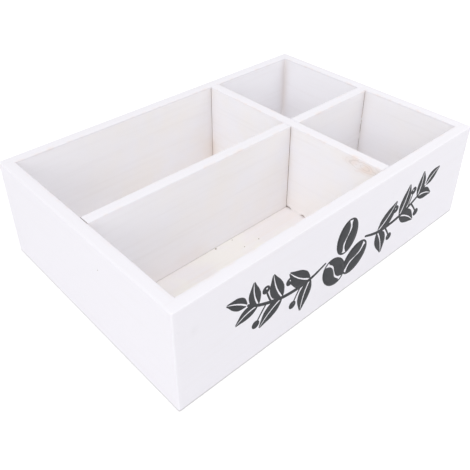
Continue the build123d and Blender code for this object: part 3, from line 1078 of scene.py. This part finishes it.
def beanStrokes(x, z, tilt):
    # a ring, and in it two filled halves that leave the S of the crease bare
    wide, tall, bare = beans["halfWidth"], beans["halfHeight"], beans["crease"]
    ring = []
    for k in range(18):
        a = math.radians(80) + math.tau * k / 16
        across, up = wide * math.cos(a), tall * math.sin(a)
        half = beans["outline"] * (1 + 0.12 * math.sin(2 * a + 1))
        ring.append(placed(x, z, across, up, tilt, half))
    strokes = [ring]
    for side in (1, -1):
        stroke = []
        for k in range(-7, 8):
            up = k / 7.6
            crease = 0.17 * wide * math.sin(math.pi * 1.1 * up) + side * bare
            rim = side * wide * math.sqrt(1 - up * up)
            across, half = (crease + rim) / 2, abs(rim - crease) / 2
            stroke.append(placed(x, z, across, up * tall, tilt, max(half, 0.4)))
        strokes.append(stroke)
    return strokes


def berryStrokes(stalk, berry, side):
    # the stalk, and a filled dot that leaves a glint bare
    (x0, z0), (x, z) = stalk, berry
    radius, glint = sprig["berry"], 0.55
    stroke = []
    for k in range(15):
        a = math.radians(30 * k)
        outer = (x + radius * math.cos(a), z + radius * math.sin(a))
        inner = (x - 0.7 * side + glint * math.cos(a), z + 0.8 + glint * math.sin(a))
        stroke.append(((outer[0] + inner[0]) / 2, (outer[1] + inner[1]) / 2, math.dist(outer, inner) / 2))
    return [[(x0, z0, 0.8), ((x0 + x) / 2 + 0.4 * side, (z0 + z) / 2, 0.8), (x, z, 0.7)], stroke]


def sprigStrokes(side):
    stem = [(side * x, z) for x, z in sprig["stem"]]
    strokes = [[(x, z, w) for (x, z), w in zip(stem, (0.9, 1.5, 1.5, 1.3, 1.0))]]
    for number, (along, length, width) in enumerate(sprig["leaves"]):
        k = int(along * (len(stem) - 1))
        part = along * (len(stem) - 1) - k
        (x0, z0), (x1, z1) = stem[k], stem[k + 1]
        x, z, angle = x0 + (x1 - x0) * part, z0 + (z1 - z0) * part, math.atan2(z1 - z0, x1 - x0)
        for up in (1, -1):
            turn = up * side * math.radians(sprig["leafAngle"] - 4 * number)
            long = length * (1 if up > 0 else sprig["lowerLeaf"])
            strokes += leafStrokes(x, z, angle + turn, long, width, -sprig["leafBend"] * up * side)
    (x0, z0), (x1, z1) = stem[-2:]
    strokes += leafStrokes(x1, z1, math.atan2(z1 - z0, x1 - x0), *sprig["tipLeaf"], side)
    for (sx, sz), (bx, bz) in sprig["berries"]:
        strokes += berryStrokes((side * sx, sz), (side * bx, bz), side)
    return strokes


def makeBrushTree():
    # lines with a half width on their points become flat strokes with round ends and a ragged edge
    tree, given, result = newTree(
        "brushStrokes", {"Step": "Float", "Flatness": "Float", "Ragged": "Float", "Paint": "Material"}
    )
    lines = addNode(tree, "GeometryNodeMeshToCurve", links={"Mesh": given["Geometry"]})
    bent = addNode(tree, "GeometryNodeCurveSplineType", {"spline_type": "CATMULL_ROM"}, {"Curve": lines})
    stepped = {"Curve": bent, "Length": given["Step"]}
    fine = addNode(tree, "GeometryNodeResampleCurve", {"mode": "LENGTH"}, stepped)
    half = addNode(tree, "GeometryNodeInputNamedAttribute", {"data_type": "FLOAT", "Name": "halfWidth"})
    along = addNode(tree, "GeometryNodeSplineParameter").outputs["Length"]
    whole = addNode(tree, "GeometryNodeSplineLength")
    left = addNode(tree, "ShaderNodeMath", {"operation": "SUBTRACT"}, {0: whole, 1: along})
    fromEnd = addNode(tree, "ShaderNodeMath", {"operation": "MINIMUM"}, {0: along, 1: left})
    share = addNode(tree, "ShaderNodeMath", {"operation": "DIVIDE", "use_clamp": True}, {0: fromEnd, 1: half})
    rest = addNode(tree, "ShaderNodeMath", {"operation": "SUBTRACT", 0: 1.0}, {1: share})
    square = addNode(tree, "ShaderNodeMath", {"operation": "MULTIPLY"}, {0: rest, 1: rest})
    under = addNode(tree, "ShaderNodeMath", {"operation": "SUBTRACT", 0: 1.04}, {1: square})
    roundEnd = addNode(tree, "ShaderNodeMath", {"operation": "SQRT"}, {0: under})
    place = addNode(tree, "GeometryNodeInputPosition")
    noise = addNode(tree, "ShaderNodeTexNoise", {"Scale": 1 / (2.2 * mm), "Detail": 2.0}, {"Vector": place})
    stray = addNode(tree, "ShaderNodeMath", {"operation": "SUBTRACT", 1: 0.5}, {0: noise})
    rough = {0: stray, 1: given["Ragged"]}
    raggedEdge = addNode(tree, "ShaderNodeMath", {"operation": "MULTIPLY_ADD", 2: 1.0}, rough)
    ended = addNode(tree, "ShaderNodeMath", {"operation": "MULTIPLY"}, {0: roundEnd, 1: raggedEdge})
    width = addNode(tree, "ShaderNodeMath", {"operation": "MULTIPLY"}, {0: ended, 1: half})
    outward = {"mode": "FREE", "Normal": (0, -1, 0)}
    faced = addNode(tree, "GeometryNodeSetCurveNormal", outward, {"Curve": fine})
    circle = addNode(tree, "GeometryNodeCurvePrimitiveCircle", {"Resolution": 10, "Radius": 1.0})
    squash = addNode(tree, "ShaderNodeCombineXYZ", {"Y": 1.0, "Z": 1.0}, {"X": given["Flatness"]})
    lens = addNode(tree, "GeometryNodeTransform", links={"Geometry": circle, "Scale": squash})
    sweep = {"Curve": faced, "Profile Curve": lens, "Scale": width}
    swept = addNode(tree, "GeometryNodeCurveToMesh", {"Fill Caps": True}, sweep)
    connect(tree, realAndPainted(tree, swept, given["Paint"]), result)
    return tree


strokes = sprigStrokes(1) + sprigStrokes(-1)
for x, z, tilt in beans["places"]:
    strokes += beanStrokes(x, z, math.radians(tilt))
artLines = [
    [(((x + artMiddle[0]) * mm, frontLow.y, (z + artMiddle[1]) * mm), half * mm) for x, z, half in stroke]
    for stroke in strokes
]
artMesh, artPoints = traceLines("sprig_artwork", artLines)
halfWidths = artMesh.attributes.new("halfWidth", "FLOAT", "POINT").data
for k, point in enumerate(artPoints):
    halfWidths[k].value = point[1]
artwork = newPiece("sprig_artwork", artMesh)
runTree(artwork, makeBrushTree(), {
    "Step": brush["step"], "Flatness": brush["flatness"], "Ragged": brush["ragged"], "Paint": charcoal,
})
runTree(artwork, layTree, {
    "Board": bpy.data.objects["front_painted"], "Toward": (0, 1, 0), "Plane": frontLow.y,
})
for polygon in artwork.data.polygons:
    polygon.use_smooth = True
handOver(artwork, "painted_wall_boards")
print("artwork done:", len(artwork.data.polygons))


# Dabs: filler smears over the brads, and crumbs and specks caught in the paint

dabs = {
    "smear": (2.3, 1.9, 0.07),  # half sizes of a filler smear, mm
    "smearRagged": 0.35 * mm,
    "crumbRagged": 0.25 * mm,
    "crumbs": [  # place, the way it faces, half sizes; millimetres
        ((-36.8, -5.6, 3.0), (0, 0, 1), (0.8, 0.6, 0.3)),
        ((-3.0, -19.6, 3.0), (0, 0, 1), (0.55, 0.5, 0.25)),
        ((-18.2, -19.0, 3.0), (0, 0, 1), (0.5, 0.35, 0.2)),
        ((37.4, -26.8, 3.0), (0, 0, 1), (0.8, 0.4, 0.3)),
        ((39.2, -28.0, 3.0), (0, 0, 1), (0.6, 0.4, 0.2)),
        ((-19.9, -6.2, 3.0), (0, 0, 1), (0.5, 0.4, 0.2)),
        ((28.0, 60.0, 3.0), (0, 0, 1), (0.8, 0.5, 0.25)),
        ((96.0, -52.0, 3.0), (0, 0, 1), (0.6, 0.5, 0.2)),
        ((-150.0, -26.6, 63.8), (-1, 0, 0), (0.35, 0.35, 0.1)),
    ],
}


def makeDabTree():
    # points with facing and halfSizes become ragged little mounds
    tree, given, result = newTree("dabs", {"Ragged": "Float", "Lump": "Float", "Finish": "Material"})
    ball = addNode(tree, "GeometryNodeMeshIcoSphere", {"Radius": 1.0, "Subdivisions": 3})
    facing, halfSizes = [
        addNode(tree, "GeometryNodeInputNamedAttribute", {"data_type": "FLOAT_VECTOR", "Name": name})
        for name in ("facing", "halfSizes")
    ]
    turned = addNode(tree, "FunctionNodeAlignRotationToVector", {"axis": "Z"}, {"Vector": facing})
    balls = {"Points": given["Geometry"], "Instance": ball, "Rotation": turned, "Scale": halfSizes}
    placed = addNode(tree, "GeometryNodeInstanceOnPoints", links=balls)
    real = addNode(tree, "GeometryNodeRealizeInstances", links={"Geometry": placed})
    place = addNode(tree, "GeometryNodeInputPosition")
    often = addNode(tree, "ShaderNodeMath", {"operation": "DIVIDE", 0: 1.0}, {1: given["Lump"]})
    lumps = addNode(tree, "ShaderNodeTexNoise", {"Detail": 1.0}, {"Vector": place, "Scale": often}).outputs
    lessHalf = {"operation": "SUBTRACT", 1: (0.5, 0.5, 0.5)}
    centred = addNode(tree, "ShaderNodeVectorMath", lessHalf, {0: lumps["Color"]})
    # only within the face that the dab lies on
    along = addNode(tree, "ShaderNodeVectorMath", {"operation": "CROSS_PRODUCT"}, {0: centred, 1: facing})
    ragged = {0: along, "Scale": given["Ragged"]}
    offset = addNode(tree, "ShaderNodeVectorMath", {"operation": "SCALE"}, ragged)
    moved = addNode(tree, "GeometryNodeSetPosition", links={"Geometry": real, "Offset": offset})
    finish = {"Geometry": moved, "Material": given["Finish"]}
    connect(tree, addNode(tree, "GeometryNodeSetMaterial", links=finish), result)
    return tree


dabTree = makeDabTree()


def dabPiece(name, spots, ragged, finish):
    # spots hold a place in metres, the way it faces, and half sizes in millimetres
    mesh = bpy.data.meshes.new(name)
    mesh.from_pydata([place for place, facing, half in spots], [], [])
    for name in ("facing", "halfSizes"):
        mesh.attributes.new(name, "FLOAT_VECTOR", "POINT")
    for k, (place, facing, half) in enumerate(spots):
        mesh.attributes["facing"].data[k].vector = facing
        mesh.attributes["halfSizes"].data[k].vector = Vector(half) * mm
    piece = newPiece(mesh.name, mesh)
    runTree(piece, dabTree, {"Ragged": ragged, "Lump": 1.6 * mm, "Finish": finish})
    turnOutwards(piece.data)
    storePaintCover(piece.data)
    return piece


def smearsOver(name, node, board, axis, sign, coat):
    # one smear over each solid of a filler node, laid onto the board's own face
    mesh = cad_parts[node].data
    centres = []
    for vertex in mesh.vertices:
        near = [c for c in centres if (c[0] - vertex.co).length < 6 * mm]
        if near:
            near[0][1].append(vertex.co)
        else:
            centres.append((vertex.co.copy(), [vertex.co]))
    facing = [0, 0, 0]
    facing[axis] = sign
    plane = frontHigh.x if axis == 0 else backHigh.y
    spots = []
    for first, corners in centres:
        middle = sum((Vector(c) for c in corners), Vector()) / len(corners)
        middle[axis] = sign * plane
        spots.append((middle, facing, dabs["smear"]))
    piece = dabPiece(name, spots, dabs["smearRagged"], coat)
    toward = tuple(-f for f in facing)
    runTree(piece, layTree, {"Board": bpy.data.objects[board], "Toward": toward, "Plane": -plane})
    handOver(piece, "painted_filler", node)
    return len(spots)


print("filler smears:", [
    smearsOver("front_smears", "front_fillers", "front_painted", 1, -1, paintAlongX),
    smearsOver("back_smears", "back_fillers", "back_painted", 1, 1, paintAlongX),
    smearsOver("left_smears", "left_fillers", "left_end_painted", 0, -1, paintAlongY),
    smearsOver("right_smears", "right_fillers", "right_end_painted", 0, 1, paintAlongY),
])
crumbSpots = [(Vector(place) * mm, facing, half) for place, facing, half in dabs["crumbs"]]
handOver(dabPiece("paint_crumbs", crumbSpots, dabs["crumbRagged"], crumbs), "painted_plywood_base")


# Base panel and brads keep their own shapes

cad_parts["base_panel"].data.materials.clear()
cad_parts["base_panel"].data.materials.append(ply)
for name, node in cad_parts.items():
    if name.endswith("_brads"):
        node.data.materials.clear()
        node.data.materials.append(wire)


# Light: a bright tent, and big soft boxes from the camera's side

light = {
    "tent": 0.76,
    "boxes": {  # bearing and height in degrees, distance and size in metres, power in watts
        "aboveCamera": (222, 60, 3.0, 1.2, 19.8),
        "leftOfCamera": (200, 30, 3.0, 1.2, 15.5),
        "nearRightEnd": (315, 40, 0.7, 0.3, 0.44),
    },
    "floorColour": "#F2F2F2",
    "floorGlow": 0.25,
    "floorReach": 6.0,
}


def seenDirectly(tree):
    # 1 for what the camera sees, also in a mirror and through glass
    rays = addNode(tree, "ShaderNodeLightPath").outputs
    seen = rays["Is Camera Ray"]
    for kind in ("Is Glossy Ray", "Is Transmission Ray"):
        seen = addNode(tree, "ShaderNodeMath", {"operation": "MAXIMUM"}, {0: seen, 1: rays[kind]})
    return seen


world = bpy.data.worlds.new("lightTent")
bpy.context.scene.world = world
world.use_nodes = True
worldTree = world.node_tree
worldTree.nodes.clear()
tent, backdrop = [
    addNode(worldTree, "ShaderNodeBackground", {"Color": linear("#FFFFFF"), "Strength": strength})
    for strength in (light["tent"], 1.0)
]
worldMix = addNode(worldTree, "ShaderNodeMixShader", links={0: seenDirectly(worldTree), 1: tent, 2: backdrop})
addNode(worldTree, "ShaderNodeOutputWorld", links={"Surface": worldMix})

for name, (bearing, height, distance, size, power) in light["boxes"].items():
    lamp = bpy.data.lights.new(name, "AREA")
    lamp.size = size
    lamp.energy = power
    holder = bpy.data.objects.new(name, lamp)
    bpy.context.scene.collection.objects.link(holder)
    turnToLamp, rise = math.radians(bearing), math.radians(height)
    aim = Vector((
        math.cos(rise) * math.cos(turnToLamp), math.cos(rise) * math.sin(turnToLamp), math.sin(rise)
    ))
    holder.location = aim * distance + Vector((0, 0, 40 * mm))
    holder.rotation_euler = aim.to_track_quat("Z", "Y").to_euler()


def paleFloor():
    # Paper sweep: matt white that the camera sees blown out, except in the box's own shadow.
    material = bpy.data.materials.new("paperSweep")
    material.use_nodes = True
    tree = material.node_tree
    tree.nodes.clear()
    matt = addNode(tree, "ShaderNodeBsdfDiffuse", {"Color": linear(light["floorColour"])})
    glow = addNode(tree, "ShaderNodeEmission", {"Strength": light["floorGlow"]})
    lit = addNode(tree, "ShaderNodeAddShader", links={0: matt, 1: glow})
    front = addNode(tree, "ShaderNodeMixShader", links={0: seenDirectly(tree), 1: matt, 2: lit})
    clear = addNode(tree, "ShaderNodeBsdfTransparent")
    behind = addNode(tree, "ShaderNodeNewGeometry").outputs["Backfacing"]
    oneSided = addNode(tree, "ShaderNodeMixShader", links={0: behind, 1: front, 2: clear})
    addNode(tree, "ShaderNodeOutputMaterial", links={"Surface": oneSided})
    return material


floorMesh = bpy.data.meshes.new("paper_floor")
reach = light["floorReach"]
floorCorners = [(x * reach, y * reach, 0) for x, y in ((-1, -1), (1, -1), (1, 1), (-1, 1))]
floorMesh.from_pydata(floorCorners, [], [(0, 1, 2, 3)])
paperFloor = newPiece("paper_floor", floorMesh)
floorMesh.materials.append(paleFloor())


# Camera: above the left front corner, as measured from the photograph's own corners

camera = {
    "place": Vector((-279.03, -291.42, 319.07)) * mm,
    "right": Vector((0.736113, -0.676858, 0.000032)),
    "down": Vector((-0.383342, -0.41694, -0.824141)),
    "forward": Vector((0.557841, 0.606649, -0.566384)),
    "lens": 47.108,
    "sensor": 36.0,
    "shiftY": -0.10038,
}

lensData = bpy.data.cameras.new("photoCamera")
lensData.lens = camera["lens"]
lensData.sensor_width = camera["sensor"]
lensData.shift_y = camera["shiftY"]
lensData.clip_start = 0.01
photoCamera = bpy.data.objects.new("photoCamera", lensData)
bpy.context.scene.collection.objects.link(photoCamera)
turn = Matrix((camera["right"], -camera["down"], -camera["forward"])).transposed()
photoCamera.matrix_world = Matrix.Translation(camera["place"]) @ turn.to_4x4()
bpy.context.scene.camera = photoCamera
bpy.context.scene.view_settings.view_transform = "Standard"
